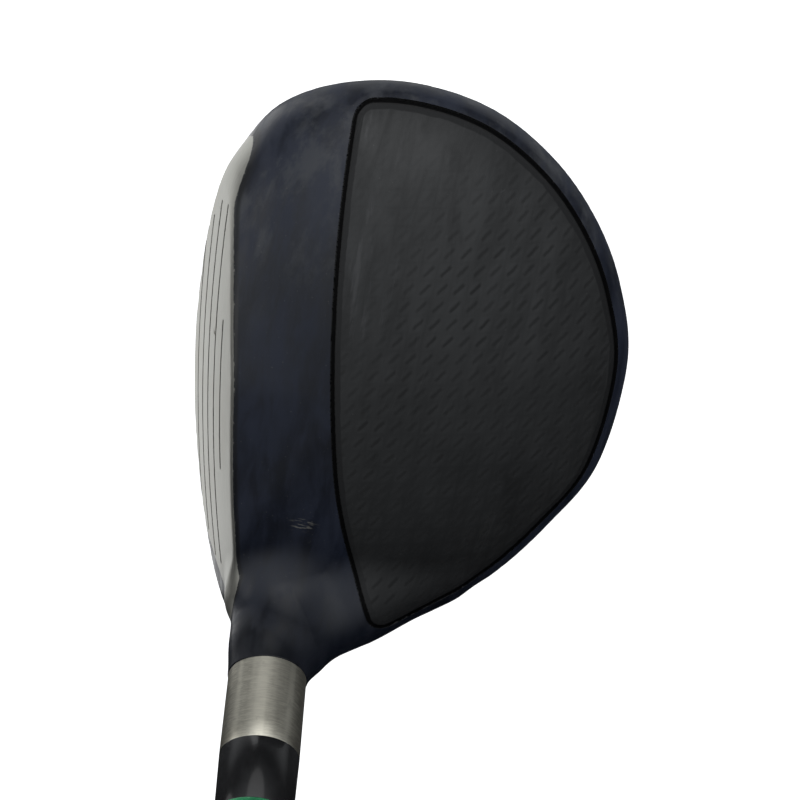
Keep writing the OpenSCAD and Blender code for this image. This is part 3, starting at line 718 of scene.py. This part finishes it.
def soft(s0, r0, s1, r1, e):
    """Outer line of a ring with its two corners eased."""
    f = 0.3 * e
    return [(s0, r0 - e), (s0 + f, r0 - f), (s0 + e, r0), (s1 - e, r1), (s1 - f, r1 - f), (s1, r1 - e)]


def grip_grooves(S, A, R):
    """Moulded grip: fine rings at both ends, and staggered short grooves between."""
    t = (S - GRIP_FROM) / (GRIP_TO - GRIP_FROM)
    ring = ((t < 0.085) & (t > 0.012)) | (t > 0.955)
    d = 0.28 * ring * (0.5 - 0.5 * np.cos(2 * math.pi * S / 3.2)) ** 2
    row = np.floor(S / 6.5)
    v = S / 6.5 - row
    u = (A / (2 * math.pi) * 14 + 0.5 * (row % 2)) % 1
    slit = step(0.30, 0.20, np.abs(u - 0.5) + 0.5 * np.abs(v - 0.5)) * (t > 0.11) * (t < 0.93)
    return -d - 0.45 * slit


def shaft_r(s):
    share = max(0, s - TAPER_FROM) / (SHAFT_TOP - TAPER_FROM)
    return (TIP_D + (BUTT_D - TIP_D) * share) / 2


def turned_pieces():
    tube = [(PAINT_LINE, TUBE_FOOT_R), (PAINT_LINE, TUBE_R), (56, TUBE_R), (60, TUBE_R), (64, TUBE_R),
            (TUBE_TOP - 0.15, TUBE_R), (TUBE_TOP, TUBE_R - 0.07), (TUBE_TOP, BORE_R), (BORE_FLOOR, BORE_R),
            (BORE_FLOOR, 0.02), (TUBE_FOOT, 0.02), (TUBE_FOOT, TUBE_FOOT_R)]
    lathe("hosel_band", tube, BAND, "hosel_tube", 128)
    ring = soft(TUBE_TOP + 0.02, TUBE_R, FERRULE_MID, 6.75, 0.12)
    lathe("ferrule_lower_ring", [(TUBE_TOP, SLEEVE_R)] + ring + [(FERRULE_MID, SLEEVE_R)],
          FERRULE, "ferrule_lower", 128)
    ring = soft(FERRULE_MID, 6.76, FERRULE_RING, 6.61, 0.10)
    lathe("ferrule_green_ring", [(FERRULE_MID, SLEEVE_R)] + ring + [(FERRULE_RING, SLEEVE_R)],
          GREEN, "ferrule_ring", 128)
    length = FERRULE_TOP - FERRULE_RING
    up = [(FERRULE_RING + length * k, (13.2 - 3.6 * k ** 1.4) / 2 - 0.002) for k in np.linspace(0, 1, 17)]
    foot = up[0][1]
    up = [(FERRULE_RING, foot - 0.1), (FERRULE_RING + 0.12, foot)] + up[1:-1]
    up += [(FERRULE_TOP - 0.2, 4.82), (FERRULE_TOP, 4.70)]
    lathe("ferrule_upper_ring", [(FERRULE_RING, SLEEVE_R)] + up + [(FERRULE_TOP, SLEEVE_R)],
          FERRULE, "ferrule_upper", 128)
    outer = [(a, shaft_r(a)) for a in (BORE_FLOOR, 60, 90, TAPER_FROM, *np.linspace(140, SHAFT_TOP, 40))]
    inner = [(SHAFT_TOP, BUTT_BORE_R), (TAPER_FROM, TIP_BORE_R), (BORE_FLOOR, TIP_BORE_R)]
    lathe("shaft_tube", outer + inner, SHAFT, "shaft", 96)
    places = ((PRINT_FROM, 0.012), (PRINT_FROM, 0.12), (PRINT_FROM + 0.3, PRINT_T),
              (PRINT_TO - 0.3, PRINT_T), (PRINT_TO, 0.12), (PRINT_TO, 0.012))
    lathe("shaft_band_print", [(a, shaft_r(a) + t) for a, t in places], PRINT, "shaft_band", 96)
    outer = [(GRIP_FROM + 1 + (GRIP_TO - GRIP_FROM - 1) * k, (GRIP_FOOT_D + GRIP_GROWTH * k ** 1.15) / 2)
             for k in np.linspace(0, 1, 420)]
    lip = [(GRIP_FROM, 6.95), (GRIP_FROM, 7.6), (GRIP_FROM + 0.25, 8.05)]
    lathe("grip_sleeve_rubber", lip + outer + [(GRIP_TO, 7.83)],
          RUBBER, "grip_sleeve", 168, grip_grooves)
    # the cap's profile: depth below its end and radius, from the vent's foot over the rim and back
    cap = [(5, 1.55), (5, 13.3), (4.6, 13.7), (4.1, 14.05), (3.5, 14.2), (1.4, 14.2), (0.7, 13.95),
           (0.2, 13.4), (0, 12.6), (0.3, 12.0), (0.4, 11.2), (0.1, 10.6), (0, 9.8), (0, 6), (0.4, 5.6),
           (0.4, 5.0), (0, 4.6), (0, 1.9), (0.2, 1.55)]
    lathe("grip_cap_rubber", [(CLUB_LENGTH - a, r) for a, r in cap], RUBBER, "grip_cap", 128)


head_pieces()
turned_pieces()
for name, mat in {
    "weight_port": PORT, "weight_screw": STEEL, "sole_glue_pad": GLUE, "shaft_bond": EPOXY,
    "tip_plug": PLUG, "grip_tape": TAPE, "head_body": PAINT, "face_cup": PAINT,
    "crown_panel": PANEL, "crown_bond": GROOVE, "hosel_tube": BAND, "ferrule_lower": FERRULE,
    "ferrule_ring": GREEN, "ferrule_upper": FERRULE, "shaft": SHAFT, "shaft_band": PRINT,
    "grip_sleeve": RUBBER, "grip_cap": RUBBER,
}.items():
    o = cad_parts[name]
    if not o.data.materials:
        o.data.materials.append(mat)
    for k in range(len(o.material_slots)):
        o.material_slots[k].material = mat


# ---------------------------------------------------------------- floor, light and camera
LAMP_AIM = (0.01, 0.0, 0.02)
BACKDROP = 0.95


def plane(name, corners, z, glow):
    me = bpy.data.meshes.new(name)
    (a, b), (c, d) = corners
    me.from_pydata([(a, b, 0), (c, b, 0), (c, d, 0), (a, d, 0)], [], [(0, 1, 2, 3)])
    m, nt, shader = material(name)
    grain = noise(nt, place(nt), 0.05, 3, 0.5)
    tone = mix(nt, grain, (0.90, 0.90, 0.90), (0.93, 0.93, 0.93))
    finish_of(nt, shader, Base_Color=tone, Roughness=0.9, Emission_Color=(1, 1, 1), Emission_Strength=glow)
    me.materials.append(m)
    o = bpy.data.objects.new(name, me)
    o.location.z = z
    bpy.context.scene.collection.objects.link(o)
    return o


def lamp(name, at, size, power):
    """A soft round lamp aimed at the head."""
    d = bpy.data.lights.new(name, "AREA")
    d.shape = "DISK"
    d.size, d.energy = size, power
    o = bpy.data.objects.new(name, d)
    o.location = at
    o.rotation_mode = "QUATERNION"
    o.rotation_quaternion = (Vector(at) - Vector(LAMP_AIM)).to_track_quat("Z", "Y")
    bpy.context.scene.collection.objects.link(o)


floor = plane("floor", ((-4, -4), (4, 4)), -0.0006, 0.95)
floor.visible_glossy = False
card = plane("left_card", ((-0.064, -0.053), (-0.024, 0.16)), -0.0004, 0.80)
card.visible_camera = False
card.visible_diffuse = False
lamp("toe_fill", (0.1, 1.6, 0.9), 1.6, 4)
lamp("left_fill", (-0.9, 0.15, 0.25), 0.6, 0.8)
world = bpy.data.worlds.new("studio")
bpy.context.scene.world = world
world.use_nodes = True
wt = world.node_tree
# The sky is brightest behind the toe and overhead, with some light thrown up from the floor there.
w = split(wt, node(wt, "TexCoord", 0))
rise = calc(wt, "MULTIPLY_ADD", w[0], -0.06, w[1])
sky = times(wt, ramp(wt, rise, -0.75, 0.60, 0.03, 1.0), ramp(wt, w[2], -0.10, 0.85, 0.10, 1.0))
bounce = times(wt, ramp(wt, w[2], -0.12, -0.60, 0.0, 0.60), ramp(wt, w[1], 0.05, 0.6))
sky = calc(wt, "MAXIMUM", sky, bounce)
backdrop = blend(wt, node(wt, "LightPath"), sky, BACKDROP)
wt.links.new(backdrop, wt.nodes["Background"].inputs[1])
wt.nodes["Background"].inputs[0].default_value = (0.94, 0.97, 1.0, 1)
bpy.context.scene.view_settings.view_transform = "Standard"

tilt, roll, away = math.radians(15), math.radians(3.1), 0.374
look = Vector((10, -4, 19.4)) * MM
back = Vector((0, math.sin(tilt), math.cos(tilt)))
up0, right0 = Vector((0, math.cos(tilt), -math.sin(tilt))), Vector((1, 0, 0))
right = right0 * math.cos(roll) + up0 * math.sin(roll)
up = up0 * math.cos(roll) - right0 * math.sin(roll)
cam_data = bpy.data.cameras.new("camera")
cam_data.lens, cam_data.sensor_width = 91.35, 36
cam_data.clip_start, cam_data.clip_end = 0.01, 20
cam = bpy.data.objects.new("camera", cam_data)
at = look + back * away
turned = Matrix((right, up, back)).transposed().to_4x4()
cam.matrix_world = Matrix.Translation(at) @ turned
bpy.context.scene.collection.objects.link(cam)
bpy.context.scene.camera = cam
